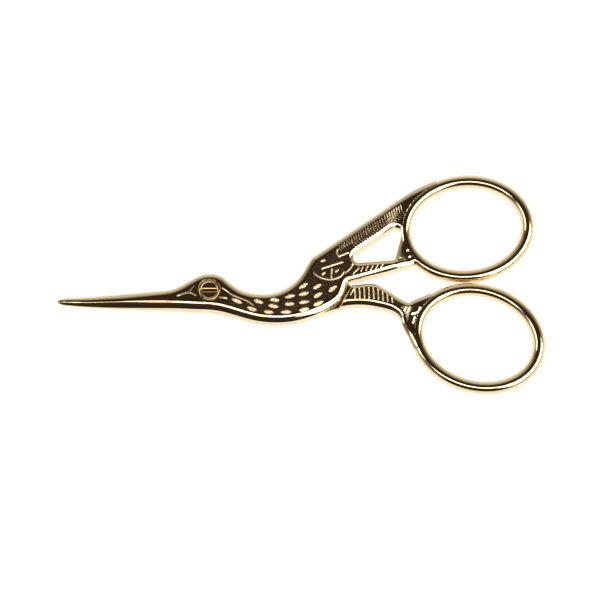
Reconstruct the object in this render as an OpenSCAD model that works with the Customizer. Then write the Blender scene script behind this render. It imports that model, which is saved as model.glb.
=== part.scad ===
// Stork embroidery scissors, lying flat and closed.
// The bird looks towards -X, the finger rings lie towards +X, and +Z is up.
// The origin is on the pivot axis, in the plane on which the scissors lie.

/* [Blades] */
// Length of the beak from the pivot axis to its tip
blade_len = 28.6; // [26:0.2:31]
// Thickness of one half at the tip of the beak
tip_t = 0.36; // [0.3:0.02:0.6]

/* [Halves] */
// Thickness of one half at the head and body
half_t = 2; // [1.7:0.05:2.4]
// Gap between the two halves where they lie on each other
part_gap = 0.05; // [0.03:0.01:0.1]
// Width of the rounded edge round each outer face
edge_w = 1.15; // [0.8:0.05:1.3]
// Height of the rounded edge
edge_h = 0.6; // [0.4:0.05:0.8]
// Gap between one half's edge and the other half's full-thickness step
step_gap = 0.3; // [0.2:0.05:0.5]

/* [Head] */
// Height of the crown above the pivot axis
crown_y = 3.32; // [3.2:0.05:3.8]
// Depth of the throat below the pivot axis
throat_y = 3.65; // [3.3:0.05:4]

/* [Wing and struts] */
// Width of the wing between its outer edge and the triangular opening
wing_w = 3.65; // [3.3:0.05:4]
// Length of the triangular opening along the wing, between its sharp corners
opening_len = 16.1; // [15.5:0.1:16.6]
// Radius of the opening's corners
opening_r = 1; // [0.7:0.05:1.1]
// Width of the lower strut below the opening's left end
strut_root_w = 3.1; // [2.7:0.1:3.4]
// Width of the lower strut below the opening's right end
strut_end_w = 1.55; // [1.35:0.05:1.8]

/* [Finger rings] */
// Half the length of a ring's centre line
ring_a = 11.65; // [11:0.05:12.2]
// Half the height of a ring's centre line
ring_b = 9.35; // [8.9:0.05:9.8]
// Width of a ring's bar seen from above
ring_bar = 2.35; // [2:0.05:2.6]
// Thickness of a ring's bar
ring_t = 2.6; // [2.2:0.05:3]
// Distance from the pivot to the upper ring's centre along X
upper_ring_x = 48.4; // [48:0.1:49.4]
// Distance from the pivot to the lower ring's centre along X
lower_ring_x = 50.45; // [50:0.1:51]
// Turn of the upper ring, in degrees
upper_tilt = 6; // [3:0.5:9]
// Turn of the lower ring, in degrees
lower_tilt = -18; // [-21:0.5:-15]
// Gap between the two rings when the scissors are closed
ring_gap = 0.12; // [0.05:0.01:0.3]

/* [Pivot screw] */
// Diameter of the screw's head
head_d = 3.9; // [3.4:0.05:4.2]
// Height of the head
head_h = 0.9; // [0.7:0.05:1.1]
// Depth of the seat that the head lies in
seat_depth = 0.75; // [0.6:0.05:0.9]
// Gap round the head in its seat
seat_gap = 0.2; // [0.1:0.05:0.3]
// Diameter of the screw's shank
shank_d = 2.4; // [2:0.05:2.6]
// Radial clearance of the shank in the front half
fit_clear = 0.03; // [0.02:0.01:0.06]
// Width of the screwdriver slot
slot_w = 0.6; // [0.4:0.05:0.8]
// Depth of the screwdriver slot
slot_depth = 0.45; // [0.3:0.05:0.6]

/* [Relief] */
// Depth of the sunk ground round the feathers
panel_depth = 0.18; // [0.1:0.02:0.25]
// Width of the land between the rounded edge and the sunk ground
panel_land = 0.2; // [0.1:0.05:0.4]
// Length of one feather
feather_len = 1.75; // [1.4:0.05:2]
// Width of one feather
feather_w = 0.8; // [0.6:0.05:1]
// Spacing of the ribs on the tail
rib_pitch = 0.87; // [0.7:0.01:1.1]
// Width of one rib
rib_w = 0.35; // [0.2:0.05:0.5]
// Spacing of the barbs on the wing
barb_pitch = 1.3; // [1:0.05:1.8]

/* [Hidden] */
gold = "#d9b56a";
dark_gold = "#b8944e";
screw_gold = "#e6c37a";

// Facets of round cuts, points per curve piece and stations round a ring
$fn = 64;
curve_steps = 3;
ring_steps = 64;

// Line where the closed rings meet, and the top of a ring's bar
ring_line_y = 1.9;
ring_top = ring_t / 2;

// Distance over which a half steps from one layer to its full thickness
step_draft = 0.08;
// How far strips that cross lie below one another, and how deep an end is buried
sunk = 0.03;
buried = 0.3;

// A smooth curve through points of any dimension
function between(a, b, c, d, t) =
    0.5 * (2 * b + (c - a) * t + (2 * a - 5 * b + 4 * c - d) * t * t
    + (3 * b - a - 3 * c + d) * t * t * t);
function curve(p, steps = curve_steps) = concat(
    [for (i = [0 : len(p) - 2], k = [0 : steps - 1])
        between(p[max(i - 1, 0)], p[i], p[i + 1], p[min(i + 2, len(p) - 1)], k / steps)],
    [p[len(p) - 1]]);

// Where the line from p along d meets the line from q along e
function meet(p, d, q, e) = p + d * ((q - p).x * e.y - (q - p).y * e.x) / (d.x * e.y - d.y * e.x);
function unit(v) = v / norm(v);

// Ellipse of a ring: a point at angle t, moved outwards by off
function turned(p, a) = [p.x * cos(a) - p.y * sin(a), p.x * sin(a) + p.y * cos(a)];
function ring_point(centre, tilt, t, off = 0) = centre + turned(
    [ring_a * cos(t), ring_b * sin(t)] + off * unit([ring_b * cos(t), ring_a * sin(t)]), tilt);
function ring_reach(tilt) = norm([ring_a * sin(tilt), ring_b * cos(tilt)]) + ring_bar / 2;
upper_ring = [upper_ring_x, ring_line_y + ring_gap / 2 + ring_reach(upper_tilt)];
lower_ring = [lower_ring_x, ring_line_y - ring_gap / 2 - ring_reach(lower_tilt)];
function on_upper(t, off = 0) = ring_point(upper_ring, upper_tilt, t, off);
function on_lower(t, off = 0) = ring_point(lower_ring, lower_tilt, t, off);

// A station is [lower edge x, lower edge y, upper edge x, upper edge y, top z]
function station(low, up, top = half_t) = [low.x, low.y, up.x, up.y, top];
// Top of a strip that has gone the given share of the way down to the ring
function towards_ring(share) = half_t + (ring_top - sunk - half_t) * share;

// Beak: share of the blade's length, lower edge, upper edge, share of the thickness gained
beak_rows = [
    [1, -1.95, -1.65, 0], [0.955, -2.42, -1.2, 0.1], [0.8, -2.84, -0.95, 0.3],
    [0.6, -3.1, -0.58, 0.54], [0.385, -3.26, -0.12, 0.76], [0.26, -3.33, 0.24, 0.88]];
beak = [for (r = beak_rows)
    station([-blade_len * r[0], r[1]], [-blade_len * r[0], r[2]], tip_t + (half_t - tip_t) * r[3])];

// Head: x of each edge, then shares of the throat's depth and the crown's height
head_rows = [[-5.2, -5.5, 0.94, 0.27], [-3.4, -3.75, 0.965, 0.57], [-1.7, -1.85, 0.98, 0.88],
    [0, 0.1, 1, 1], [1.7, 2.1, 1.06, 0.87], [3.3, 3.9, 1.16, 0.45]];
head = [for (r = head_rows) station([r[0], -throat_y * r[2]], [r[1], crown_y * r[3]])];

// Neck and breast, which both halves share
neck = [
    station([5.1, -4.75], [5.8, 0.2]), station([7.2, -5.38], [7.7, -0.43]),
    station([9.5, -5.9], [9.7, -0.66]), station([12, -6.12], [11.6, -0.56]),
    station([14.6, -6.03], [13.4, -0.05]), station([17, -5.6], [15.2, 0.95]),
    station([19.4, -4.85], [16.7, 2.3])];
bird = concat(beak, head, neck);

// Front half: the wing's straight edge runs from the shoulder to the upper ring
shoulder = [19.4, 6.5];
crotch = [26, 1.66];
wing_end = on_upper(135, ring_bar / 2 + 0.75);
wing_dir = unit(wing_end - shoulder);
wing_side = [wing_dir.y, -wing_dir.x];
function on_wing(along, across = 0) = shoulder + wing_dir * along + wing_side * across;
breast = [station([21.6, -3.85], [17.8, 3.85]), station([23.6, -2.65], [18.6, 5.3]),
    station([25.2, -0.95], [19.1, 6.1]), station(crotch, shoulder)];

// Lower strut: its underside runs straight from the crotch to the ring
strut_dir = unit(on_upper(215, ring_bar / 2) - crotch);
strut_side = [-strut_dir.y, strut_dir.x];
function on_strut(along, across = 0) = crotch + strut_dir * along + strut_side * across;

// The triangular opening: sharp corners at its left, right and top
opening_floor = on_strut(9.9, strut_end_w) - on_strut(2.6, strut_root_w);
opening_left = meet(on_wing(0, wing_w), wing_dir, on_strut(2.6, strut_root_w), opening_floor);
opening_top = opening_left + wing_dir * opening_len;
opening_right = on_strut(9.9, strut_end_w);
opening = [opening_left, opening_right, opening_top];
function on_opening(i, share) = opening[i] + (opening[(i + 1) % 3] - opening[i]) * share;

// From here on the front half has its full thickness
wing_start = station(crotch + [0.8, 0.7] * (step_gap / 0.3), shoulder + [0.35, 0.24] * (step_gap / 0.3));
wing = [
    station(opening_left + [3.5, 0.7], on_wing(3.8)),
    station(on_opening(2, 0.76), on_wing(6.8)), station(on_opening(2, 0.5), on_wing(11.2)),
    station(on_opening(2, 0.24), on_wing(15.4)),
    station(on_upper(172), on_wing(18.4), towards_ring(0.3)),
    station(on_upper(155), on_wing(20.8), towards_ring(0.55)),
    station(on_upper(140), wing_end, towards_ring(0.8)),
    station(on_upper(120), on_upper(117, ring_bar / 2 - 0.12), towards_ring(1)),
    station(on_upper(105, -buried), on_upper(103, buried), ring_top - buried)];

// Full-thickness strut, which starts buried under the wing
strut = [
    station(on_strut(0.75, 1.5), on_strut(-0.6, 3.9), half_t - sunk),
    station(on_strut(1.1), on_opening(0, 0.2), half_t - sunk),
    station(on_strut(3.2), on_opening(0, 0.36), half_t - sunk),
    station(on_strut(6.2), on_opening(0, 0.63), half_t - sunk),
    station(on_strut(9), on_opening(0, 0.97), half_t - sunk),
    station(on_strut(11.6), on_upper(203, 1), towards_ring(0.15)),
    station(on_strut(13.2, 0.1), on_upper(207), towards_ring(0.65))];

// Web between the opening and the ring
web = [
    station(on_strut(11.6, 0.4), on_strut(9.6, 0.5), towards_ring(0.2)),
    station(on_upper(205, -0.1), on_opening(1, 0.04), towards_ring(0.25)),
    station(on_upper(196, -0.2), on_opening(1, 0.25), towards_ring(0.35)),
    station(on_upper(187, -0.4), on_opening(1, 0.5), towards_ring(0.45)),
    station(on_upper(176, -0.5), on_opening(1, 0.74), towards_ring(0.6))];

// Rear half: the body's upper edge turns down from the shoulder under the wing
belly = [
    station([21.2, -4.15], [17.8, 3.85]), station([22.2, -3.8], [18.6, 5.3]),
    station([22.9, -3.53], [19.5, 6.25]), station([23.5, -3.33], [22.6, 4.45]),
    station([24, -3.18], [25.2, 2.65]), station([24.4, -3.08], [26.45 + step_gap, 1.25])];
tail_start = station([24.4 + step_draft, -3.06], [26.45 + step_gap + step_draft, 1.23]);
tail = [
    station([26.2, -2.76], [27.6, 1.1]), station([28, -2.66], [28.8, 1.25]),
    station([29.6, -2.73], [30.1, 1.36]), station([31.2, -2.98], [31.5, 1.15]),
    station([32.9, -3.35], [33, 0.28]), station([34.2, -3.73], [34.7, -0.82]),
    station([35.2, -4.3], [36.5, -2])];
leg = [
    station([35.85, -5.1], on_lower(163), towards_ring(0.2)),
    station([36.2, -6.3], on_lower(174), towards_ring(0.5)),
    station([36.75, -7.5], on_lower(188), towards_ring(0.7)),
    station([37.5, -8.9], on_lower(200), towards_ring(1)),
    station(on_lower(213, ring_bar / 2), on_lower(213), towards_ring(1)),
    station(on_lower(230, buried), on_lower(230, -buried), ring_top - buried)];

// Section across a station: rounded edges and a flat top. Its underside is either the
// parting plane, or the same as the top where the half has its full thickness.
function section(s, full) = let(
    low = [s[0], s[1]], up = [s[2], s[3]], u = unit(up - low),
    w = min(edge_w, 0.42 * norm(up - low)), h = min(edge_h, 0.55 * s[4]),
    base = full ? -s[4] : part_gap / 2, base_h = full ? h : 0)
    concat(
        [for (a = [90 : -45 : 0]) let(p = low + u * w * (1 - cos(a))) [p.x, p.y, base + base_h * (1 - sin(a))]],
        [for (a = [0 : 45 : 90]) let(p = low + u * w * (1 - cos(a))) [p.x, p.y, s[4] - h * (1 - sin(a))]],
        [for (a = [90 : -45 : 0]) let(p = up - u * w * (1 - cos(a))) [p.x, p.y, s[4] - h * (1 - sin(a))]],
        [for (a = [0 : 45 : 90]) let(p = up - u * w * (1 - cos(a))) [p.x, p.y, base + base_h * (1 - sin(a))]]);
function sections(stations, full, steps = curve_steps) =
    [for (s = curve(stations, steps)) section([s[0], s[1], s[2], s[3], min(s[4], half_t)], full)];

// A closed skin over equal rings of points, with a fan from its middle at each end
function middle(p) = [for (v = p) 1] * p / len(p);
module skin(rings) {
    count = len(rings[0]);
    last = len(rings) - 1;
    total = count * len(rings);
    sides = [for (i = [0 : last - 1], j = [0 : count - 1]) let(
        a = i * count + j, b = i * count + (j + 1) % count)
        each [[a, b, b + count], [a, b + count, a + count]]];
    ends = [for (j = [0 : count - 1]) let(k = (j + 1) % count)
        each [[total, k, j], [total + 1, last * count + j, last * count + k]]];
    polyhedron(concat([for (r = rings) each r], [middle(rings[0]), middle(rings[last])]), concat(sides, ends));
}

// Bar of a finger ring, swept round its ellipse
module finger_ring(centre, tilt) {
    corner = 0.75;
    sides = 12;
    function soft(v) = sign(v) * pow(abs(v), corner);
    points = [for (i = [0 : ring_steps - 1], j = [0 : sides - 1]) let(
        a = 360 * j / sides,
        p = ring_point(centre, tilt, 360 * i / ring_steps, ring_bar / 2 * soft(cos(a))))
        [p.x, p.y, ring_top * soft(sin(a))]];
    faces = [for (i = [0 : ring_steps - 1], j = [0 : sides - 1]) let(
        n = (i + 1) % ring_steps, k = (j + 1) % sides)
        each [[i * sides + j, i * sides + k, n * sides + k],
              [i * sides + j, n * sides + k, n * sides + j]]];
    polyhedron(points, faces);
}

// Feathers: rows of [first x, first y, step x, step y, count, turn, turn per copy]
feather_rows = [
    [5.3, -1.75, 3.6, -0.2, 3, -22, 9], [15.2, -0.85, 2.4, 1.9, 2, 22, 12],
    [8, -3.35, 3.7, 0.25, 3, -20, 14], [17.8, -0.35, 2.7, 0.55, 2, 28, 4],
    [11.2, -4.0, 3.2, 0.05, 2, -8, 10], [17.8, -2, 2.75, 0.1, 2, 20, 8],
    [17.8, -3.45, 2.7, 0.2, 1, 10, 0]];

module feather(x, y, turn) {
    translate([x, y, half_t - panel_depth - 0.1]) rotate(turn) skin([
        for (r = [[1, 0], [0.9, 0.5], [0.45, 1]])
            [for (a = [315 : -45 : 0]) [feather_len / 2 * r[0] * cos(a), feather_w / 2 * r[0] * sin(a),
                (panel_depth + 0.08) * r[1]]]]);
}
module feathers() {
    for (r = feather_rows) for (i = [0 : r[4] - 1])
        feather(r[0] + r[2] * i, r[1] + r[3] * i, r[5] + r[6] * i);
}

// Sunk ground, cut between two edges given as stations
module panel(stations) {
    floor_z = half_t - panel_depth;
    skin([for (s = stations) [[s[0], s[1], floor_z], [s[0], s[1], half_t + 0.5],
        [s[2], s[3], half_t + 0.5], [s[2], s[3], floor_z]]]);
}
function inset(s, low, up) = let(a = [s[0], s[1]], b = [s[2], s[3]], u = unit(b - a))
    station(a + u * low, b - u * up);
function halfway(stations) =
    [for (i = [0 : len(stations) - 2]) (stations[i] + stations[i + 1]) / 2];

// A raised bar on sunk ground, from p to q
module ridge(p, q, w) {
    u = unit(q - p) * w / 2;
    side = [-u.y, u.x];
    translate([0, 0, half_t - panel_depth - 0.1]) linear_extrude(panel_depth + 0.06)
        polygon([p - side, q - side, q + side, p + side]);
}

// Ground of the body, the wing and the tail
body_margin = edge_w + panel_land;
body_ground = [for (s = halfway(concat([for (i = [12 : len(bird) - 1]) bird[i]],
    [for (i = [0 : 2]) breast[i]]))) inset(s, body_margin, body_margin)];
wing_ground = [for (a = [4.5, 12, 19.5]) station(on_wing(a, wing_w - 0.9), on_wing(a, body_margin))];
tail_ground = [for (s = halfway([for (i = [0 : 5]) tail[i]])) inset(s, 1.3, 0.75)];

module wing_relief() {
    difference() {
        panel(wing_ground);
        for (a = [5 : barb_pitch : 18.2])
            ridge(on_wing(a, wing_w - 0.7), on_wing(a + 0.9, body_margin - 0.2), rib_w);
    }
}
module tail_relief() {
    count = floor(5.6 / rib_pitch);
    difference() {
        panel(tail_ground);
        for (i = [0 : count]) let(x = 27.35 + rib_pitch * i)
            ridge([x, -2.4], [x + 0.15, 0.8], rib_w);
    }
}

module front_solid() {
    difference() {
        union() {
            difference() {
                skin(concat(
                    sections(concat(bird, breast, [wing_start]), false),
                    sections(concat([wing_start + [1, 0, 1, 0, 0] * step_draft], wing), true)));
                panel(body_ground);
            }
            feathers();
            skin(sections(strut, true, 2));
            skin(sections(web, true, 2));
            finger_ring(upper_ring, upper_tilt);
        }
        translate([0, 0, -half_t - 1]) linear_extrude(2 * half_t + 2)
            offset(r = opening_r - sunk) offset(delta = -opening_r) polygon(opening);
    }
}

module rear_solid() {
    mirror([0, 0, 1]) {
        difference() {
            skin(concat(
                sections(concat(bird, belly), false),
                sections(concat([tail_start], tail, leg), true)));
            panel(body_ground);
            for (side = [0, 1]) mirror([0, 0, side]) tail_relief();
        }
        feathers();
        finger_ring(lower_ring, lower_tilt);
    }
}

module front_half() {
    color(gold) translate([0, 0, half_t]) difference() {
        resize([0, 0, 0]) front_solid();
        translate([0, 0, -1]) cylinder(r = shank_d / 2 + fit_clear, h = half_t + 2);
        translate([0, 0, half_t - seat_depth]) cylinder(r = head_d / 2 + seat_gap, h = seat_depth + 1);
    }
}

module rear_half() {
    thread_clear = 0.02;
    color(dark_gold) translate([0, 0, half_t]) difference() {
        resize([0, 0, 0]) rear_solid();
        translate([0, 0, -half_t - 1]) cylinder(r = shank_d / 2 + thread_clear, h = half_t + 2);
    }
}

module pivot_screw() {
    under_gap = 0.03;
    head_z = 2 * half_t - seat_depth + under_gap;
    round_r = 0.25;
    color(screw_gold) difference() {
        rotate_extrude() union() {
            square([shank_d / 2, head_z + 0.1]);
            translate([0, head_z]) square([head_d / 2, head_h - round_r]);
            translate([0, head_z]) square([head_d / 2 - round_r, head_h]);
            translate([head_d / 2 - round_r, head_z + head_h - round_r]) circle(r = round_r);
        }
        translate([-head_d, -slot_w / 2, head_z + head_h - slot_depth]) cube([2 * head_d, slot_w, slot_depth + 1]);
    }
}

rear_half();
front_half();
pivot_screw();
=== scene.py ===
import math

import bmesh
import bpy
import numpy as np
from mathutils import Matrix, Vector
from mathutils.geometry import delaunay_2d_cdt
from mathutils.kdtree import KDTree


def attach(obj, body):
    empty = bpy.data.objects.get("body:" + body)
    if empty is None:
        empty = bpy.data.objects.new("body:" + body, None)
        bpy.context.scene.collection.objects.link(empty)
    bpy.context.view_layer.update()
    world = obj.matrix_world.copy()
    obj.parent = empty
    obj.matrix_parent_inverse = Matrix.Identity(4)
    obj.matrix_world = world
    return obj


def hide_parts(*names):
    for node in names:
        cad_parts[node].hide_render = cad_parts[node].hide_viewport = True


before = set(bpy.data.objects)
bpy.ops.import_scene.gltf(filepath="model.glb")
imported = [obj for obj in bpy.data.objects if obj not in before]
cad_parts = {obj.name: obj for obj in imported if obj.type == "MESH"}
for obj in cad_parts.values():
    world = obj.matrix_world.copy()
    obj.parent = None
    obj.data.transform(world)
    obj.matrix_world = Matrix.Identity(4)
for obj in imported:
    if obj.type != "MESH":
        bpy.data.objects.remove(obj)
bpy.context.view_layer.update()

# Stork embroidery scissors, closed, seen from above with the bird looking to the left.
# Lengths are in millimetres up to the point where a mesh is made. Heights are counted from
# the parting plane between the two castings, which lies HALF_T above the floor.
MM = 0.001
HALF_T = 2.0
# Half the gap between the castings where they lie on each other
HALF_GAP = 0.025
# Distance over which a casting steps to its full thickness
STEP_DRAFT = 0.08

# Spacing of mesh points inside a casting and along its outlines, and the depths at which
# rows of points follow each outline
CELL = 0.135
OUTLINE_STEP = 0.12
EDGE_ROWS = (0.03, 0.09, 0.18)

# Finger rings: half the length and height of the centre line, half the width and half the
# thickness of the bar, and the distances from the centre line at which points follow the seam
RING_A, RING_B = 11.65, 9.35
BAR_HALF, RING_TOP = 1.175, 1.3
SEAM_ROWS = (0.92, 1.02, 1.12, 1.2, 1.3)

# Screw hole, the seat of the screw's head, and the rows of points round the seat
BORE = 1.23
SEAT_R, SEAT_FLOOR = 2.13, 1.25
SEAT_ROWS = (2.0, 2.06, 2.09, 2.13, 2.17, 2.25)

# Wing barbs, strokes on the lower strut and ribs of the tail: how many, and their pitch
BARBS, BARB_PITCH = 27, 0.54
STROKES, STROKE_PITCH = 5, 0.95
RIBS, RIB_PITCH = 9, 0.87


# Plane geometry

def curve(points, steps=10):
    """A smooth curve through points."""
    p = np.asarray(points, float)
    out = []
    for i in range(len(p) - 1):
        a, b, c, d = p[max(i - 1, 0)], p[i], p[i + 1], p[min(i + 2, len(p) - 1)]
        for k in range(steps):
            t = k / steps
            out.append(0.5 * (2 * b + (c - a) * t + (2 * a - 5 * b + 4 * c - d) * t ** 2
                              + (3 * b - a - 3 * c + d) * t ** 3))
    out.append(p[-1])
    return np.array(out)


def even(points, spacing):
    """The same line with points at an even spacing."""
    points = np.asarray(points, float)
    along = np.r_[0, np.cumsum(np.hypot(*np.diff(points, axis=0).T))]
    t = np.linspace(0, along[-1], max(1, round(along[-1] / spacing)) + 1)
    return np.c_[np.interp(t, along, points[:, 0]), np.interp(t, along, points[:, 1])]


def circle(radius, angles):
    return radius * np.c_[np.cos(angles), np.sin(angles)]


def unit(v):
    return v / np.linalg.norm(v)


def smooth(t):
    """A soft rise from 0 to 1."""
    t = np.clip(t, 0, 1)
    return t * t * (3 - 2 * t)


def rounded(corners, radius, steps=12):
    """A polygon, given clockwise, with rounded corners."""
    out = []
    for i, p in enumerate(corners):
        back, ahead = unit(corners[i - 1] - p), unit(corners[(i + 1) % len(corners)] - p)
        half = math.acos(float(np.clip(back @ ahead, -1, 1))) / 2
        centre = p + unit(back + ahead) * radius / math.sin(half)
        start, end = p + back * radius / math.tan(half), p + ahead * radius / math.tan(half)
        for k in range(steps + 1):
            out.append(centre + radius * unit((start - centre) * (steps - k) + (end - centre) * k))
    return np.array(out + [out[0]])


class Ring:
    """A finger ring, whose centre line is a turned ellipse.

    join holds the angle at which the body starts to run into the ring, the angle over which
    it does so, and the same for where it ends."""

    def __init__(self, centre, tilt, join):
        self.centre, self.turn, self.join = np.array(centre), math.radians(tilt), join

    def point(self, angle, off=0.0):
        """Point of the centre line at an angle in degrees, moved outwards by off."""
        t, r = math.radians(angle), self.turn
        p = np.array([RING_A * math.cos(t), RING_B * math.sin(t)])
        p = p + off * unit(np.array([RING_B * math.cos(t), RING_A * math.sin(t)]))
        return self.centre + np.array([p[0] * math.cos(r) - p[1] * math.sin(r),
                                       p[0] * math.sin(r) + p[1] * math.cos(r)])

    def arc(self, start, end, off=0.0, count=160):
        """Points from one angle to another, moved outwards by off."""
        return np.array([self.point(a, off) for a in np.linspace(start, end, count)])

    def shares(self, points):
        """Points in the ring's own axes, as shares of its half length and half height."""
        c, s = math.cos(self.turn), math.sin(self.turn)
        own = points - self.centre
        return own @ np.array([c, s]) / RING_A, own @ np.array([-s, c]) / RING_B

    def side(self, points):
        """1 at points outside the centre line, -1 at points inside it."""
        x, y = self.shares(points)
        return np.where(x ** 2 + y ** 2 > 1, 1.0, -1.0)

    def joined(self, points):
        """How much the body runs into the ring at each point, from 0 to 1."""
        x, y = self.shares(points)
        angle = np.degrees(np.arctan2(y, x)) % 360
        first, rise, last, fall = self.join
        return smooth((angle - first) / rise) * smooth((last - angle) / fall)


UPPER_RING = Ring((48.4, 12.53), 6.0, (98, 14, 229, 14))
LOWER_RING = Ring((50.45, -8.93), -18.0, (138, 12, 229, 16))


# Outlines of the two castings. The lower and upper edge from the beak to the breast are shared.

LOW = [(-28.6, -1.95), (-27.31, -2.42), (-22.88, -2.84), (-17.16, -3.1), (-11.01, -3.26),
       (-7.44, -3.33), (-5.2, -3.43), (-3.4, -3.52), (-1.7, -3.58), (0, -3.65), (1.7, -3.87),
       (3.3, -4.23), (5.1, -4.75), (7.2, -5.38), (9.5, -5.9), (12, -6.12), (14.6, -6.03),
       (17, -5.6), (19.4, -4.85)]
HIGH = [(-28.6, -1.65), (-27.31, -1.2), (-22.88, -0.95), (-17.16, -0.58), (-11.01, -0.12),
        (-7.44, 0.24), (-5.5, 0.9), (-3.75, 1.89), (-1.85, 2.92), (0.1, 3.32), (2.1, 2.89),
        (3.9, 1.49), (5.8, 0.2), (7.7, -0.43), (9.7, -0.66), (11.6, -0.56), (13.4, -0.05),
        (15.2, 0.95), (16.7, 2.3)]
SHOULDER = np.array([19.4, 6.5])
CROTCH = np.array([26.0, 1.66])
OPENING = np.array([[24.0, 5.1], [35.0, 5.98], [36.95, 14.1]])

WING_END = UPPER_RING.point(135, BAR_HALF + 0.75)
WING_DIR = unit(WING_END - SHOULDER)
WING_SIDE = np.array([WING_DIR[1], -WING_DIR[0]])
STRUT_DIR = unit(UPPER_RING.point(215, BAR_HALF) - CROTCH)
STRUT_SIDE = np.array([-STRUT_DIR[1], STRUT_DIR[0]])


def on_wing(along, across=0.0):
    """Point along the wing's outer edge from the shoulder, and across towards the opening."""
    return SHOULDER + WING_DIR * along + WING_SIDE * across


def on_strut(along, across=0.0):
    """Point along the lower strut's underside from the crotch, and across towards the opening."""
    return CROTCH + STRUT_DIR * along + STRUT_SIDE * across


def spread(values, count):
    """One value or several, spread evenly over a number of points."""
    values = np.atleast_1d(values)
    return np.interp(np.linspace(0, 1, count), np.linspace(0, 1, len(values)), values)


def outline(parts, span=12):
    """A closed outline, metal on its left, from parts: points, and the width, height and
    roundness of the bevel. A roundness of 1 is a plain chamfer. The bevel's values blend over
    span points on both sides."""
    points, bevel = [], []
    for line, *values in parts:
        p = even(line, OUTLINE_STEP)[:-1]
        points.append(p)
        bevel.append(np.stack([spread(v, len(p)) for v in values], 1))
    points, bevel = np.concatenate(points), np.concatenate(bevel)
    ahead = np.roll(points, -1, 0) - np.roll(points, 1, 0)
    ahead /= np.linalg.norm(ahead, axis=1)[:, None]
    kernel = np.ones(2 * span + 1) / (2 * span + 1)
    bevel = np.stack([np.convolve(np.r_[v[-span:], v, v[:span]], kernel, "valid")
                      for v in bevel.T], 1)
    return {"points": points, "normals": np.c_[-ahead[:, 1], ahead[:, 0]], "bevel": bevel}


def bore():
    """The hole for the screw through both castings."""
    return outline([(circle(BORE, np.linspace(2 * math.pi, 0, 65)), 0.06, 0.03, 1.0)])


def ring_hole(ring):
    return outline([(ring.arc(360, 0, -BAR_HALF), 0.9, 0.5, 1.6)])


def front_outlines():
    south = curve(LOW + [(21.6, -3.85), (23.6, -2.65), (25.2, -0.95), tuple(CROTCH)])
    north = curve([tuple(SHOULDER), (19.1, 6.1), (18.6, 5.3), (17.8, 3.85)] + HIGH[::-1])
    wing_tip = curve([UPPER_RING.point(96, BAR_HALF), UPPER_RING.point(106, BAR_HALF + 0.02),
                      UPPER_RING.point(116, BAR_HALF + 0.12), UPPER_RING.point(126, BAR_HALF + 0.37),
                      WING_END, on_wing(20.8), on_wing(18.4)])
    outer = outline([
        (south, 1.3, 0.68, (1.2, 1.2, 1.3, 1.6, 1.9)),
        (np.array([CROTCH, UPPER_RING.point(215, BAR_HALF)]), 1.1, 0.55, 1.9),
        (UPPER_RING.arc(215, 456, BAR_HALF), 1.0, 0.5, 1.6),
        (wing_tip, 0.95, 0.45, 1.7),
        (np.array([on_wing(18.4), SHOULDER]), 1.05, 0.48, 2.0),
        (north, 1.1, 0.5, (2.1, 2.1, 2.2, 1.8, 1.7)),
        (np.array([north[-1], south[0]]), 0.3, 0.2, 1.6)])
    window = outline([(rounded(OPENING[::-1], 1.15), 0.75, 0.45, 1.6)])
    towards_wing = np.clip(window["normals"] @ np.array([-0.6, 0.8]), 0, 1)
    window["bevel"][:, 0] += 0.1 * towards_wing
    return [outer, ring_hole(UPPER_RING), window, bore()]


def rear_outlines():
    knee, step_end = (34.2, -3.73), (34.7, -0.82)
    south = curve(LOW + [(21.2, -4.15), (22.2, -3.8), (22.9, -3.53), (23.5, -3.33), (24.4, -3.08),
                         (26.2, -2.76), (28, -2.66), (29.6, -2.73), (31.2, -2.98), (32.9, -3.35),
                         knee])
    leg = curve([knee, (35.2, -4.35), (35.85, -5.1), (36.2, -6.3), (36.75, -7.5), (37.5, -8.9),
                 LOWER_RING.point(213, BAR_HALF), LOWER_RING.point(222, BAR_HALF)])
    ring_edge = LOWER_RING.arc(222, 508, BAR_HALF)
    valley = curve([ring_edge[-1], (38.6, -1.72), (37.75, -2.2), (37.2, -2.26), (36.4, -1.93),
                    step_end])
    tail_edge = [step_end, (33, 0.28), (31.5, 1.15), (30.1, 1.36), (28.8, 1.25), (27.6, 1.1),
                 (26.8, 1.23)]
    back = [(25.2, 2.65), (22.6, 4.45), (19.5, 6.25), (18.6, 5.3), (17.8, 3.85)]
    north = curve(tail_edge + back + HIGH[::-1])
    split = 70
    outer = outline([
        (south, 1.15, 0.6, (1.2, 1.2, 1.3, 1.6, 1.8)), (leg, 0.95, 0.55, 1.7),
        (ring_edge, 1.0, 0.5, 1.6), (valley, 0.8, 0.45, 1.6), (north[:split], 0.75, 0.42, 1.6),
        (north[split - 1:], 1.0, 0.5, 1.7), (np.array([north[-1], south[0]]), 0.3, 0.2, 1.6)])
    return [outer, ring_hole(LOWER_RING), bore()]


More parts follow.
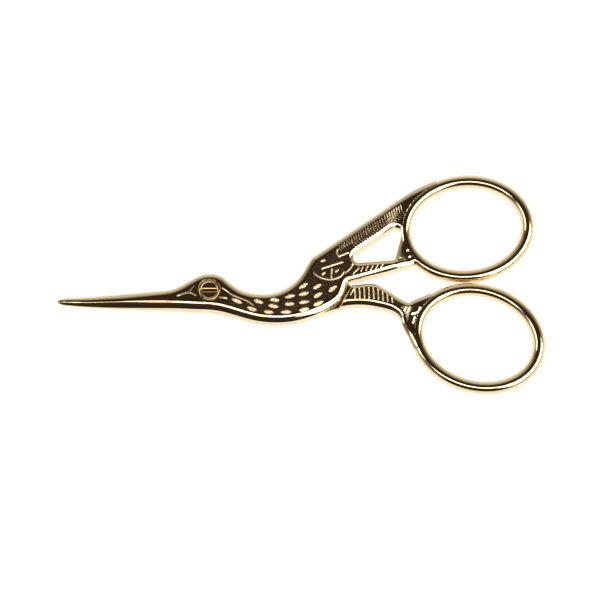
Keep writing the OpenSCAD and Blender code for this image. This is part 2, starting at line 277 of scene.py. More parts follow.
def nearest(points, outlines, batch=400):
    """Distance to the nearest outline, the way inwards there, and its bevel's three values."""
    a, ab, table = [], [], []
    for o in outlines:
        a.append(o["points"])
        ab.append(np.roll(o["points"], -1, 0) - o["points"])
        values = np.c_[o["normals"], o["bevel"]]
        table.append(np.c_[values, np.roll(values, -1, 0)])
    a, ab, table = np.concatenate(a), np.concatenate(ab), np.concatenate(table)
    length2 = (ab ** 2).sum(1)
    distance, found = np.empty(len(points)), np.empty((len(points), 5))
    for start in range(0, len(points), batch):
        p = points[start:start + batch]
        px, py = p[:, :1] - a[:, 0], p[:, 1:] - a[:, 1]
        t = np.clip((px * ab[:, 0] + py * ab[:, 1]) / length2, 0, 1)
        d2 = (px - t * ab[:, 0]) ** 2 + (py - t * ab[:, 1]) ** 2
        i = d2.argmin(1)
        rows = np.arange(len(p))
        distance[start:start + batch] = np.sqrt(d2[rows, i])
        share = t[rows, i][:, None]
        found[start:start + batch] = table[i, :5] * (1 - share) + table[i, 5:] * share
    normal = found[:, :2] / np.linalg.norm(found[:, :2], axis=1)[:, None]
    return distance, normal, found[:, 2:]


def inside(points, outlines, batch=1000):
    """Whether each point lies on the metal."""
    odd = np.zeros(len(points), bool)
    for o in outlines:
        a, b = o["points"], np.roll(o["points"], -1, 0)
        rise = np.where(a[:, 1] == b[:, 1], 1e-9, b[:, 1] - a[:, 1])
        for start in range(0, len(points), batch):
            x, y = points[start:start + batch, :1], points[start:start + batch, 1:]
            crosses = (a[:, 1] > y) != (b[:, 1] > y)
            at = a[:, 0] + (y - a[:, 1]) * (b[:, 0] - a[:, 0]) / rise
            odd[start:start + batch] ^= (crosses & (x < at)).sum(1) % 2 == 1
    return odd


def filling(outlines):
    """Evenly spread points on the metal, in rows that are offset by half a cell in turn."""
    corners = np.concatenate([o["points"] for o in outlines])
    low, high = corners.min(0), corners.max(0)
    rows = []
    for k, y in enumerate(np.arange(low[1], high[1], CELL * math.sqrt(3) / 2)):
        y += 1e-5
        cuts = []
        for o in outlines:
            a, b = o["points"], np.roll(o["points"], -1, 0)
            hit = (a[:, 1] > y) != (b[:, 1] > y)
            a, b = a[hit], b[hit]
            cuts.append(a[:, 0] + (y - a[:, 1]) * (b[:, 0] - a[:, 0]) / (b[:, 1] - a[:, 1]))
        cuts = np.sort(np.concatenate(cuts))
        offset = 0.5 * (k % 2)
        for left, right in zip(cuts[::2], cuts[1::2]):
            first = math.ceil((left - low[0]) / CELL + offset)
            count = int((right - left) / CELL) + 1
            x = low[0] + (np.arange(first, first + count) - offset) * CELL
            x = x[x < right]
            rows.append(np.c_[x, np.full(len(x), y)])
    return np.concatenate(rows)


# Relief

def bar(line, width=0.34, steep=0.2):
    """A raised line along given points, whose upper side is the high one."""
    return {"line": even(line, 0.13), "width": width, "height": width * steep}


def feather(x, y, turn, length=2.05, width=0.84):
    """A raised oval feather."""
    return {"centre": np.array([x, y]), "turn": math.radians(turn),
            "length": length, "width": width}


# Feathers of the body, from the neck to the breast in four rows
FEATHERS = [
    feather(5.21, -2.14, -24, 2.3), feather(9.25, -2.26, -17), feather(12.33, -1.97, -3),
    feather(15.17, -1.24, 12), feather(17.68, 0.79, 34, 2.0, 0.8),
    feather(20.3, 0.68, 32, 1.8, 0.8), feather(23.2, 0.25, 40, 2.0, 0.8),
    feather(8.03, -3.68, -18), feather(12.06, -3.14, -10),
    feather(15.1, -2.7, 2), feather(17.77, -0.74, 16), feather(20.45, -1.0, 33, 1.9, 0.8),
    feather(11.2, -4.3, -6), feather(14.45, -4.3, 2, 2.2), feather(17.83, -2.36, 10),
    feather(20.5, -2.62, 27, 2.1), feather(17.83, -3.8, 14, 2.0)]
# The rear casting's body ends further forward
REAR_FEATHERS = [f for f in FEATHERS if f["centre"][0] < 20]

# Dots of the shoulder and of the web beside the ring
WING_DOTS = [
    feather(21.4, 5.75, 28, 1.1, 0.55), feather(21.5, 3.2, 50, 0.95, 0.5),
    feather(24.0, 3.75, 45, 0.95, 0.5), feather(37.34, 7.96, 30, 0.6, 0.5),
    feather(37.7, 6.7, 30, 0.6, 0.45)]

# Lines behind and before the bird's eye
NECK_LINES = [
    bar(curve([(2.35, 0.4), (3.1, -0.1), (4.4, -1.02), (6.0, -1.69), (7.28, -2.27),
               (8.2, -2.94)]), 0.18),
    bar([(1.9, -1.45), (3.2, -1.6)], 0.26),
    bar([(-3.9, -0.5), (-3.3, 0.15), (-2.75, 0.75)], 0.24),
    bar(curve([(-5.9, -1.15), (-3.95, -0.55), (-2.5, -1.1)]), 0.24)]


def wing_lines():
    """Scallops, quills and barbs of the wing, and the strokes of the lower strut."""
    lines = [
        bar(curve([(19.6, 3.35), (20.8, 2.45), (22.7, 2.0), (24.6, 2.55), (25.4, 3.6)]), 0.3),
        bar([(22.9, 2.3), (23.0, 4.1)], 0.28),
        bar([(21.2, 4.15), (25.1, 5.45)], 0.36),
        bar([(24.4, 6.55), (26.1, 7.25)], 0.36),
        bar(curve([(24.2, 8.0), (24.0, 7.1), (24.5, 6.4)]), 0.24),
        bar(curve([(27.1, 5.3), (26.7, 4.4), (25.7, 3.35)]), 0.28),
        bar(curve([(28.2, 4.4), (27.8, 3.9), (27.1, 3.2)]), 0.26),
        bar(curve([(35.45, 5.75), (35.7, 6.3), (36.25, 6.45), (36.65, 6.05)]), 0.24)]
    for i in range(STROKES):
        start = on_strut(3.6 + STROKE_PITCH * i, 1.95 - 0.13 * i)
        lines.append(bar([start, start - STRUT_DIR * 0.6 - STRUT_SIDE * (0.75 - 0.06 * i)], 0.2))
    for i in range(BARBS):
        at = 5.4 + BARB_PITCH * i
        # Short beside the opening's left corner, and steeper towards the wing's tip
        reach = 2.35 if at > 8 else 1.2
        steep = 0.12 + 0.02 * max(0.0, (at - 14.0) / 5.5)
        lines.append(bar(curve([on_wing(at, 1.05), on_wing(at - 0.45, 1.05 + reach / 2),
                                on_wing(at - 0.25, 0.75 + reach)]), 0.22, steep))
    return lines


def tail_lines():
    """Ribs of the tail, two bars beside the step, and strokes of the knee."""
    at = [27, 29, 31, 33, 35]
    tops, lows = [0.3, 0.6, 0.5, -0.3, -1.6], [-1.5, -1.45, -1.65, -2.1, -2.5]
    lines = []
    for i in range(RIBS):
        x = 27.35 + RIB_PITCH * i
        top, low = np.interp(x, at, tops), np.interp(x, at, lows)
        lines.append(bar([(x - 0.05, top), (x + 0.05, low)], 0.22, 0.22))
    return lines + [
        bar([(25.15, -2.55), (27.0, 0.75)], 0.34), bar([(26.55, -0.95), (27.15, 0.15)], 0.26),
        bar([(36.9, -3.3), (36.6, -3.85)], 0.36), bar([(37.6, -3.3), (37.15, -4.3)], 0.38),
        bar(curve([(39.6, -3.25), (39.15, -4.15), (38.1, -4.5)]), 0.5),
        bar([(38.6, -5.1), (38.3, -6.25)], 0.44)]


def relief_points(feathers, lines):
    """Mesh points that follow the relief's own shapes."""
    out = []
    for f in feathers:
        for share, count in ((1.02, 34), (0.9, 30), (0.78, 26), (0.5, 18), (0.25, 9)):
            a = np.linspace(0, 2 * math.pi, count, endpoint=False)
            u = share * f["length"] / 2 * np.cos(a)
            v = share * f["width"] / 2 * np.sign(np.sin(a)) * (1 - np.cos(a) ** 2) ** 0.71
            c, s = math.cos(f["turn"]), math.sin(f["turn"])
            out.append(f["centre"] + np.c_[u * c - v * s, u * s + v * c])
    for b in lines:
        p = b["line"]
        ahead = np.gradient(p, axis=0)
        ahead /= np.linalg.norm(ahead, axis=1)[:, None]
        side = np.c_[-ahead[:, 1], ahead[:, 0]]
        for share in (-0.5, -0.25, 0, 0.25, 0.5):
            out.append(p + side * share * b["width"])
        out += [p[:1] - ahead[:1] * b["width"] / 2, p[-1:] + ahead[-1:] * b["width"] / 2]
    return np.concatenate(out)


def feather_height(f, q):
    """Height of a feather at points q counted from its centre. It slopes down to the south and
    sinks into the ground there."""
    c, s = math.cos(f["turn"]), math.sin(f["turn"])
    u = (q[:, 0] * c + q[:, 1] * s) / (f["length"] / 2)
    v = (-q[:, 0] * s + q[:, 1] * c) / (f["width"] / 2)
    rim = smooth((1 - u * u - np.abs(v) ** 1.4) / 0.3)
    half = math.hypot(f["length"] / 2.3 * s, f["width"] / 2.3 * c)
    return rim * (0.13 - 0.34 * (half - q[:, 1]))


def bar_height(b, q):
    """Height of a bar at points q, and their distance from its line. It is a wedge, whose high
    side is the one that faces north, or east on an upright bar."""
    best, side = np.full(len(q), np.inf), np.zeros(len(q))
    for start, end in zip(b["line"][:-1], b["line"][1:]):
        d = end - start
        t = np.clip(((q - start) @ d) / (d @ d), 0, 1)
        off = q - start - t[:, None] * d
        far = np.hypot(*off.T)
        closer = far < best
        best = np.where(closer, far, best)
        high = unit(np.array([-d[1], d[0]]))
        high *= 1 if high @ np.array([0.2, 1.0]) > 0 else -1
        side = np.where(closer, off @ high, side)
    half = b["width"] / 2
    return smooth((1 - best / half) / 0.35) * 2 * (side + half) * b["height"] / b["width"], best


def relief(points, feathers, lines):
    """Height of the relief over its ground."""
    z = np.zeros(len(points))
    for f in feathers:
        q = points - f["centre"]
        near = (q ** 2).sum(1) < (f["length"] * 0.6) ** 2
        z[near] += feather_height(f, q[near])
    for b in lines:
        middle = b["line"].mean(0)
        reach = np.linalg.norm(b["line"] - middle, axis=1).max() + b["width"]
        near = ((points - middle) ** 2).sum(1) < reach ** 2
        raised, distance = bar_height(b, points[near])
        z[near] = np.where(distance < b["width"] / 2, np.maximum(z[near], raised), z[near])
    return z


# Heights of the castings' faces

def body_top(x):
    """Level of a half's outer face, which thins towards the tip of the beak."""
    return np.interp(x, [-28.6, -27.3, -22.9, -17.2, -11, -7.4, -5.2, 2.3, 4.1],
                     [0.36, 0.52, 0.85, 1.25, 1.61, 1.8, 1.97, 1.97, 1.86])


def beak_width(x):
    """Width of the beak and head, to which the bevels are fitted."""
    return np.interp(x, [-28.6, -27.3, -22.9, -17.2, -11, -7.4, -4, 1],
                     [0.3, 1.22, 1.89, 2.52, 3.14, 3.57, 5.0, 7.0])


def inner_face(spot):
    """Distance of an inner face from the parting plane, with a small chamfer at its edge."""
    return HALF_GAP + 0.04 * np.clip(1 - spot["d"] / 0.05, 0, 1)


def outer_face(p, spot, stepped=False):
    """Height of an outer face at points p, and how much of it is sunk cast ground.

    spot holds the distance d to the outline and its bevel, the distance q from the ring's
    centre line, how much the body is joined to the ring, and the distance behind the step
    line. A stepped face dips beside that line."""
    d, q, joined = spot["d"], spot["q"], spot["joined"]
    width = np.minimum(spot["width"], 0.42 * beak_width(p[:, 0]))
    top = body_top(p[:, 0])
    top = top + (RING_TOP - 0.04 - top) * smooth((4.4 - q) / 3.4)
    height = np.minimum(spot["height"], 0.55 * top)
    u = np.clip(1 - d / width, 0, 1)
    z = top - height * (u ** spot["round"] + 0.08 * u ** 8)
    # The ground share also marks where the cast gold's colour is darkened with painted shade
    ground = smooth((d - width - 0.1) / 0.14) * smooth((p[:, 0] - 3.2) / 0.8)
    ground *= smooth((q - 1.5) / 0.6)
    if stepped:
        z -= 0.3 * np.clip(1 - spot["step"] / 0.55, 0, 1) ** 1.6 * (spot["step"] > -0.5)
        ground *= smooth((spot["step"] - 0.5) / 0.3)

    # Round bar of the ring, blended into the body
    outwards = np.clip(q - BAR_HALF + d, 0, 0.25) * (1 - joined)
    bar_z = RING_TOP * np.sqrt(np.clip(1 - ((q - outwards) / (BAR_HALF + 0.03)) ** 2, 0, 1))
    body_z = z - 4 * smooth((0.45 - q) / 0.8) - 4 * (1 - joined) * (q < BAR_HALF + 0.15)
    blend = 0.12
    share = np.clip(0.5 + 0.5 * (body_z - bar_z) / blend, 0, 1)
    return bar_z + (body_z - bar_z) * share + blend * share * (1 - share), ground


class Casting:
    """One half of the scissors: a plane mesh fitted to its outlines, raised on both sides.

    step_line holds two points of the line behind which it has its full thickness."""

    seat_rows = ()

    def __init__(self, outlines, ring, step_line, lines, feathers):
        self.outlines, self.ring, self.lines, self.feathers = outlines, ring, lines, feathers
        self.ring_line = [outline([(ring.arc(0, 360), 1, 1, 1)])]
        low, high = np.array(step_line, float)
        along = unit(high - low)
        self.step_from, self.step_side = low, np.array([along[1], -along[0]])
        step_ends = np.array([low - along * 3, high + along * 3])
        self.guides = [even(step_ends + self.step_side * s, 0.12) for s in (0.0, STEP_DRAFT)]
        self.guides += [even(ring.arc(95, 235, off), 0.1) for off in SEAM_ROWS]

    def mesh_points(self):
        """Points of the mesh inside the outlines: rows along the edges, then what follows the
        step, the ring's seam, the relief and the screw's seat, then an even filling."""
        rows = np.concatenate([
            np.c_[o["points"] + o["normals"] * depth, np.full(len(o["points"]), depth)]
            for o in self.outlines for depth in EDGE_ROWS])
        rows = rows[nearest(rows[:, :2], self.outlines)[0] > 0.93 * rows[:, 2], :2]
        made = self.guides + [relief_points(self.feathers, self.lines)]
        for r in self.seat_rows:
            count = max(24, int(2 * math.pi * r / 0.12))
            made.append(circle(r, np.linspace(0, 2 * math.pi, count, endpoint=False)))
        made = np.concatenate(made)
        made = made[inside(made, self.outlines)]
        made = made[nearest(made, self.outlines)[0] > EDGE_ROWS[-1] + 0.03]
        fill = filling(self.outlines)
        fill = fill[nearest(fill, self.outlines)[0] > EDGE_ROWS[-1] + 0.05]
        tree = KDTree(len(made))
        for i, (x, y) in enumerate(made):
            tree.insert((x, y, 0), i)
        tree.balance()
        fill = fill[[tree.find((x, y, 0))[2] > 0.45 * CELL for x, y in fill]]
        return np.concatenate([rows, made, fill])

    def plane(self):
        """Triangles between the outlines."""
        loops = [o["points"] for o in self.outlines]
        edges, count = [], 0
        for p in loops:
            edges += [(count + i, count + (i + 1) % len(p)) for i in range(len(p))]
            count += len(p)
        points = np.concatenate(loops + [self.mesh_points()])
        points = [Vector(p) for p in points]
        verts, _, faces, *_ = delaunay_2d_cdt(points, edges, [], 0, 1e-5, False)
        verts = np.array([tuple(v) for v in verts])
        faces = np.array([f for f in faces if len(f) == 3])
        rim = nearest(verts, self.outlines)[0] < 1e-4
        doubtful = rim[faces].all(1)
        keep = np.ones(len(faces), bool)
        keep[doubtful] = inside(verts[faces[doubtful]].mean(1), self.outlines)
        return verts, faces[keep]

    def measure(self, p):
        """Where points lie: distance to the outline, its bevel, and distance from the ring."""
        d, normal, bevel = nearest(p, self.outlines)
        q, q_normal = nearest(p, self.ring_line)[:2]
        return {"d": d, "normal": normal, "width": bevel[:, 0], "height": bevel[:, 1],
                "round": bevel[:, 2], "q": q * self.ring.side(p), "q_normal": -q_normal}

    def heights(self, p, spot, shift=(0.0, 0.0)):
        """Upper and lower height at points p, moved by a small shift, and their sunk ground."""
        shift = np.array(shift)
        p = p + shift
        return self.faces(p, dict(
            spot, d=np.maximum(spot["d"] + spot["normal"] @ shift, 0),
            q=spot["q"] + spot["q_normal"] @ shift, joined=self.ring.joined(p),
            step=(p - self.step_from) @ self.step_side))


class FrontCasting(Casting):
    """Its outer face is on top, and holds the screw's seat."""

    seat_rows = SEAT_ROWS

    def faces(self, p, spot):
        outer, ground = outer_face(p, spot)
        top = outer + relief(p, self.feathers, self.lines)
        r = np.hypot(p[:, 0], p[:, 1])
        top -= (top - SEAT_FLOOR) * smooth((SEAT_R - r) / 0.07)
        top = np.minimum(top, HALF_T)
        under = np.minimum(outer + relief(p, [], self.lines), HALF_T)
        layer = inner_face(spot)
        wing = np.clip(spot["step"] / STEP_DRAFT, 0, 1)
        low = layer + (-under - layer) * wing
        return top, low, ground * (r > SEAT_ROWS[-1] + 0.05), ground * wing


class RearCasting(Casting):
    """Its outer face is underneath. The tail and leg, behind the step, show on top."""

    def faces(self, p, spot):
        outer, under_ground = outer_face(p, spot)
        outer = np.minimum(outer + relief(p, self.feathers, self.lines), HALF_T)
        full, ground = outer_face(p, spot, stepped=True)
        full = np.minimum(full + relief(p, [], self.lines), HALF_T)
        layer = -inner_face(spot)
        tail = np.clip(spot["step"] / STEP_DRAFT, 0, 1)
        top = layer + (full - layer) * tail
        return top, -outer, ground * tail, under_ground


def link(name, mesh):
    """A new object in the scene."""
    obj = bpy.data.objects.new(name, mesh)
    bpy.context.scene.collection.objects.link(obj)
    return obj


def thick_plane(name, verts, faces):
    """A flat mesh, extruded upwards by 1."""
    mesh = bpy.data.meshes.new(name)
    mesh.from_pydata([(x, y, 0) for x, y in verts], [], [tuple(int(i) for i in f) for f in faces])
    bm = bmesh.new()
    bm.from_mesh(mesh)
    grown = bmesh.ops.extrude_face_region(bm, geom=bm.faces[:], use_keep_orig=True)
    for v in grown["geom"]:
        if isinstance(v, bmesh.types.BMVert):
            v.co.z = 1.0
    bm.normal_update()
    bmesh.ops.recalc_face_normals(bm, faces=bm.faces[:])
    bm.to_mesh(mesh)
    bm.free()
    return mesh


def face_normals(casting, p, spot, upper, step=0.012):
    """Normals of the upper and lower faces at points p, from heights a small step apart."""
    slope = []
    for shift in ((step, 0.0), (0.0, step)):
        ahead = casting.heights(p, spot, shift)
        back = casting.heights(p, spot, (-shift[0], -shift[1]))
        slope.append(np.where(upper, ahead[0] - back[0], ahead[1] - back[1]) / (2 * step))
    face_way = np.where(upper, 1.0, -1.0)
    normal = np.c_[-slope[0] * face_way, -slope[1] * face_way, face_way]
    return normal / np.linalg.norm(normal, axis=1)[:, None]


def make_casting(name, casting, thinnest=0.03):
    """The casting's mesh: extruded from its plane, with each face brought to its height."""
    mesh = thick_plane(name, *casting.plane())
    co = np.empty(len(mesh.vertices) * 3)
    mesh.vertices.foreach_get("co", co)
    co = co.reshape(-1, 3)
    upper = co[:, 2] > 0.5
    p = co[:, :2].copy()
    spot = casting.measure(p)
    top, low, upper_ground, lower_ground = casting.heights(p, spot)
    top = np.maximum(top, low + thinnest)
    co[:, 2] = np.where(upper, top, low) + HALF_T

    # Walls are the faces that join the upper to the lower side
    loop_vertex = np.empty(len(mesh.loops), np.int32)
    mesh.loops.foreach_get("vertex_index", loop_vertex)
    starts, totals = np.empty(len(mesh.polygons), np.int32), np.empty(len(mesh.polygons), np.int32)
    mesh.polygons.foreach_get("loop_start", starts)
    mesh.polygons.foreach_get("loop_total", totals)
    share = np.add.reduceat(upper[loop_vertex].astype(float), starts) / totals
    wall = np.repeat((share > 0.01) & (share < 0.99), totals)
    loop_normal = face_normals(casting, p, spot, upper)[loop_vertex]
    outward = np.c_[-spot["normal"], np.zeros(len(p))]
    loop_normal[wall] = outward[loop_vertex][wall]

    mesh.vertices.foreach_set("co", (co * MM).ravel())
    mesh.shade_smooth()
    mesh.normals_split_custom_set(loop_normal)
    # The ground share roughens and grains the cast gold, and darkens its colour there as painted
    # shade
    attribute = mesh.attributes.new("ground", "FLOAT", "POINT")
    ground = np.where(upper, upper_ground, lower_ground)
    attribute.data.foreach_set("value", ground.astype(np.float32))
    mesh.update()
    return link(name, mesh)


# Pivot screw, which is the bird's eye. Its heights are counted from the floor.

# Radius and height along the profile: end, shank, underside of the head, raised ring, flat face
SCREW_PROFILE = [
    (0, 0.02), (1.0, 0.02), (1.16, 0.08), (1.2, 0.18), (1.2, 3.27), (1.88, 3.27), (1.93, 3.3),
    (1.95, 3.36), (1.95, 3.9), (1.945, 3.95), (1.93, 3.982), (1.9, 4.008), (1.86, 4.029),
    (1.8, 4.044), (1.73, 4.05), (1.66, 4.044), (1.6, 4.029), (1.56, 4.008), (1.53, 3.982),
    (1.51, 3.955), (1.48, 3.945), (1.42, 3.94), (0.8, 3.94), (0.3, 3.94), (0, 3.94)]
# The flat face, which the slot crosses: its radius, and a level just under it
FACE_R, FACE_Z = 1.5, 3.9
# Half the width of the slot's floor, the width of each wall, and the level of the floor
SLOT_HALF, SLOT_WALL, SLOT_FLOOR = 0.29, 0.015, 3.77
# The slot's rounded edges: distance from the wall, and how far the face drops there
SLOT_EDGES = ((0.02, 0.036), (0.06, 0.018))


def make_screw(name):
    """A slotted screw, spun from its profile: a raised ring round a flat face, and a shank
    that ends flush with the underside."""
    bm = bmesh.new()
    line = [bm.verts.new((r, 0, z)) for r, z in SCREW_PROFILE]
    edges = [bm.edges.new(pair) for pair in zip(line, line[1:])]
    bmesh.ops.spin(bm, geom=line + edges, axis=(0, 0, 1), cent=(0, 0, 0), angle=2 * math.pi,
                   steps=96, use_merge=True, use_duplicate=False)
    bmesh.ops.remove_doubles(bm, verts=bm.verts[:], dist=1e-4)
    slot_edge = SLOT_HALF + SLOT_WALL
    for y in (SLOT_HALF, slot_edge, slot_edge + 0.04, slot_edge + 0.08):
        for side in (-1, 1):
            bmesh.ops.bisect_plane(bm, geom=bm.verts[:] + bm.edges[:] + bm.faces[:], dist=1e-5,
                                   plane_co=(0, side * y, 0), plane_no=(0, 1, 0))
    for v in bm.verts:
        if math.hypot(v.co.x, v.co.y) > FACE_R:
            continue
        off = abs(v.co.y) - slot_edge
        if v.co.z > SLOT_FLOOR and off < -0.005:
            v.co.z = SLOT_FLOOR
        elif v.co.z > FACE_Z:
            v.co.z -= next((drop for reach, drop in SLOT_EDGES if off < reach), 0)
    bmesh.ops.remove_doubles(bm, verts=bm.verts[:], dist=1e-4)
    bmesh.ops.dissolve_degenerate(bm, dist=1e-5, edges=bm.edges[:])
    bmesh.ops.recalc_face_normals(bm, faces=bm.faces[:])
    for f in bm.faces:
        f.smooth = True
    for e in bm.edges:
        if len(e.link_faces) == 2 and e.calc_face_angle(0) > math.radians(35):
            e.smooth = False
    bmesh.ops.scale(bm, vec=(MM, MM, MM), verts=bm.verts[:])
    mesh = bpy.data.meshes.new(name)
    bm.to_mesh(mesh)
    bm.free()
    return link(name, mesh)


# Materials

def linear(hex_colour):
    """An sRGB hex colour as linear red, green, blue and alpha."""
    parts = [int(hex_colour[i:i + 2], 16) / 255 for i in (1, 3, 5)]
    return tuple(c / 12.92 if c <= 0.04045 else ((c + 0.055) / 1.055) ** 2.4 for c in parts) + (1.0,)


def add(tree, kind, settings=(), links=()):
    """Adds a node, sets its properties or sockets, and links sockets to it."""
    node = tree.nodes.new(kind)
    for key, value in dict(settings).items():
        if isinstance(key, str) and hasattr(node, key):
            setattr(node, key, value)
        else:
            node.inputs[key].default_value = value
    for key, socket in dict(links).items():
        tree.links.new(socket, node.inputs[key])
    return node


def work_out(tree, operation, a, b):
    """The result of a sum on socket a and on b, which is a socket or a number."""
    if isinstance(b, float):
        return add(tree, "ShaderNodeMath", {"operation": operation, 1: b}, {0: a}).outputs[0]
    return add(tree, "ShaderNodeMath", {"operation": operation}, {0: a, 1: b}).outputs[0]


def noise(tree, place, size, detail):
    """Noise with features of a given size in millimetres."""
    settings = {"Scale": 1 / (size * MM), "Detail": detail}
    return add(tree, "ShaderNodeTexNoise", settings, {"Vector": place}).outputs["Fac"]


def gold_plate(name, bright, deep, roughness, cast):
    """Gold plate on polished steel. It mirrors its surroundings with a faint haze and shows
    fine polishing hairlines. A cast piece is duller and grained on its sunk ground, and its
    colour there is darkened towards the deep one as painted shade, broken up by the grain. A
    turned one is clouded with a deeper tone."""
    material = bpy.data.materials.new(name)
    material.use_nodes = True
    tree = material.node_tree
    shader = tree.nodes["Principled BSDF"]
    shader.inputs["Metallic"].default_value = 1.0
    place = add(tree, "ShaderNodeTexCoord").outputs["Object"]
    streak = add(tree, "ShaderNodeMapping", {"Scale": (1.0, 14.0, 14.0)}, {"Vector": place})
    hair = noise(tree, streak.outputs["Vector"], 1.6, 2.0)
    rough = add(tree, "ShaderNodeMapRange", {"To Min": roughness * 0.75, "To Max": roughness * 1.35},
                {"Value": hair}).outputs["Result"]
    if cast:
        ground = add(tree, "ShaderNodeAttribute", {"attribute_name": "ground"}).outputs["Fac"]
        grain = noise(tree, place, 0.35, 4.0)
        # Painted shade: the sunk ground's colour is darkened towards the deep tone in a grainy
        # pattern
        painted_shade_and_clouding, most = work_out(tree, "MULTIPLY", ground, grain), 0.75
        rough = work_out(tree, "ADD", rough, work_out(tree, "MULTIPLY", ground, 0.07))
        pits = work_out(tree, "MULTIPLY", ground, work_out(tree, "SUBTRACT", grain, 0.5))
        bump = add(tree, "ShaderNodeBump", {"Strength": 1.0, "Distance": 0.08 * MM}, {"Height": pits})
        under, strength = {"Normal": bump.outputs["Normal"]}, 0.12
    else:
        painted_shade_and_clouding, most = noise(tree, place, 6, 3.0), 0.5
        under, strength = {}, 0.15
    fade = add(tree, "ShaderNodeMapRange", {"To Max": most}, {"Value": painted_shade_and_clouding})
    tone = add(tree, "ShaderNodeMix", {"data_type": "RGBA"})
    tone.inputs["A"].default_value = linear(bright)
    tone.inputs["B"].default_value = linear(deep)
    tree.links.new(fade.outputs["Result"], tone.inputs["Factor"])
    fine = add(tree, "ShaderNodeBump", {"Strength": strength, "Distance": 0.01 * MM},
               {"Height": hair, **under})
    tree.links.new(tone.outputs["Result"], shader.inputs["Base Color"])
    tree.links.new(rough, shader.inputs["Roughness"])
    tree.links.new(fine.outputs["Normal"], shader.inputs["Normal"])
    return material


# The deep colour of the cast gold is painted shade on its sunk ground
CAST_GOLD = gold_plate("gold_plated_cast_steel", "#F6DFB2", "#84583C", 0.09, True)
SCREW_GOLD = gold_plate("gold_plated_turned_steel", "#F6DAA0", "#E8C078", 0.12, False)


# The scissors

front = make_casting("front_casting", FrontCasting(
    front_outlines(), UPPER_RING, ((26.8, 2.36), (19.75, 6.74)), NECK_LINES + wing_lines(),
    FEATHERS + WING_DOTS))
rear = make_casting("rear_casting", RearCasting(
    rear_outlines(), LOWER_RING, ((24.48, -3.06), (26.83, 1.23)), tail_lines(), REAR_FEATHERS))
screw = make_screw("eye_screw")
for piece, node, body, slot, material in (
        (front, "front_half", "front", "half_gold", CAST_GOLD),
        (rear, "rear_half", "rear", "half_gold", CAST_GOLD),
        (screw, "pivot_screw", "rear", "screw_gold", SCREW_GOLD)):
    piece.data.materials.append(material)
    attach(piece, body)
    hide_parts(node)
    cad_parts[node].data.materials.clear()
    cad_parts[node].data.materials.append(material)


# Floor, light and camera, in metres

def make_floor():
    """A plain white floor. The camera and reflections see it white, and it keeps the shadow."""
    bm = bmesh.new()
    bmesh.ops.create_grid(bm, x_segments=1, y_segments=1, size=6)
    bmesh.ops.translate(bm, vec=(0, 0, -0.00002), verts=bm.verts[:])
    mesh = bpy.data.meshes.new("floor")
    bm.to_mesh(mesh)
    bm.free()
    floor = link("floor", mesh)
    material = bpy.data.materials.new("white_paper_floor")
    material.use_nodes = True
    tree = material.node_tree
    tree.nodes.clear()
    paper = add(tree, "ShaderNodeBsdfDiffuse", {"Color": linear("#F4F4F4")})
    glow = add(tree, "ShaderNodeEmission", {"Strength": 1.12})
    path = add(tree, "ShaderNodeLightPath").outputs
    seen = work_out(tree, "MAXIMUM", path["Is Camera Ray"], path["Is Glossy Ray"])
    seen = work_out(tree, "MAXIMUM", seen, path["Is Transmission Ray"])
    share = work_out(tree, "MULTIPLY", seen, 0.82)
    mix = add(tree, "ShaderNodeMixShader", {},
              {"Fac": share, 1: paper.outputs[0], 2: glow.outputs[0]})
    add(tree, "ShaderNodeOutputMaterial", {}, {"Surface": mix.outputs[0]})
    mesh.materials.append(material)


def rise(tree, value, start, end, most):
    """A smooth rise from 0 at one value to the most at another."""
    return add(tree, "ShaderNodeMapRange", {
        "interpolation_type": "SMOOTHSTEP", "From Min": start, "From Max": end,
        "To Min": 0.0, "To Max": most}, {"Value": value}).outputs["Result"]


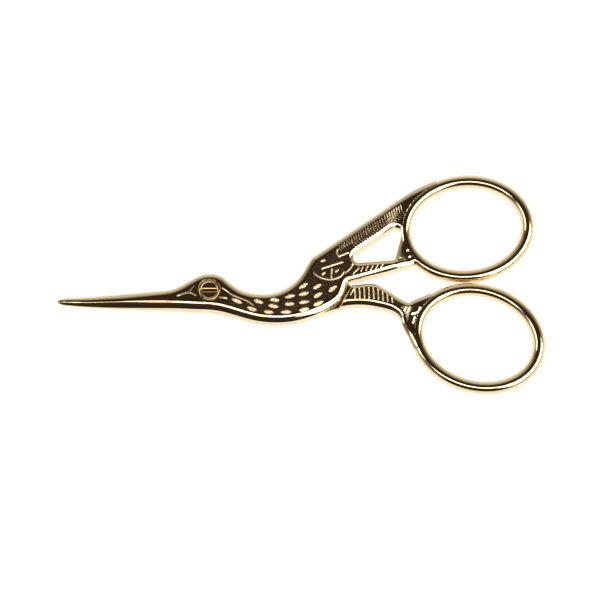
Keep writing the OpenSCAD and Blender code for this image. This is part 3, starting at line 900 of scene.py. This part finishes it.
def make_world():
    """A dim studio: dark brown overhead, paler walls behind the scissors and at both sides."""
    world = bpy.data.worlds.new("studio")
    bpy.context.scene.world = world
    world.use_nodes = True
    tree = world.node_tree
    tree.nodes.clear()
    way = add(tree, "ShaderNodeTexCoord").outputs["Generated"]
    split = add(tree, "ShaderNodeSeparateXYZ", {}, {"Vector": way}).outputs
    back = rise(tree, split["Y"], 0.36, 1.08, 0.72)
    across = add(tree, "ShaderNodeMath", {"operation": "ABSOLUTE"}, {0: split["X"]}).outputs[0]
    sides = rise(tree, across, 0.5, 1.05, 0.4)
    tone = add(tree, "ShaderNodeMix", {"data_type": "RGBA"})
    tone.inputs["A"].default_value = linear("#32291F")
    tone.inputs["B"].default_value = (1, 1, 1, 1)
    tree.links.new(work_out(tree, "ADD", back, sides), tone.inputs["Factor"])
    sky = add(tree, "ShaderNodeBackground", {"Strength": 1.0}, {"Color": tone.outputs["Result"]})
    add(tree, "ShaderNodeOutputWorld", {}, {"Surface": sky.outputs[0]})


def make_lamp(name, azimuth, tilt, size_x, size_y, radiance, distance=1.4):
    """A softbox that faces the scissors from a compass direction and a tilt off the vertical."""
    lamp = bpy.data.lights.new(name, "AREA")
    lamp.shape = "RECTANGLE"
    lamp.size, lamp.size_y = size_x, size_y
    lamp.energy = radiance * math.pi * size_x * size_y
    obj = link(name, lamp)
    target = Vector((0.017, 0, 0))
    a, t = math.radians(azimuth), math.radians(tilt)
    way = Vector((math.sin(t) * math.cos(a), math.sin(t) * math.sin(a), math.cos(t)))
    obj.location = target + way * distance
    obj.rotation_euler = (-way).to_track_quat("-Z", "Y").to_euler()


def make_camera():
    """A long lens that looks down at the scissors from the front, 1 m away."""
    elevation = math.radians(74)
    aim = Vector((0.01705, -0.00141, 0.002))
    lens = bpy.data.cameras.new("camera")
    lens.lens = 319.0
    lens.sensor_width = 36.0
    lens.clip_start, lens.clip_end = 0.05, 30.0
    camera = link("camera", lens)
    camera.location = aim + Vector((0, -math.cos(elevation), math.sin(elevation)))
    camera.rotation_euler = (math.pi / 2 - elevation, 0, 0)
    bpy.context.scene.camera = camera


make_floor()
make_world()
make_lamp("softbox_front", -90, 24, 1.6, 0.44, 2.6)
make_lamp("softbox_right", -22, 50, 1.9, 1.0, 2.6)
make_lamp("softbox_left", 172, 46, 0.9, 0.6, 2.0)
make_camera()
bpy.context.scene.view_settings.view_transform = "Standard"
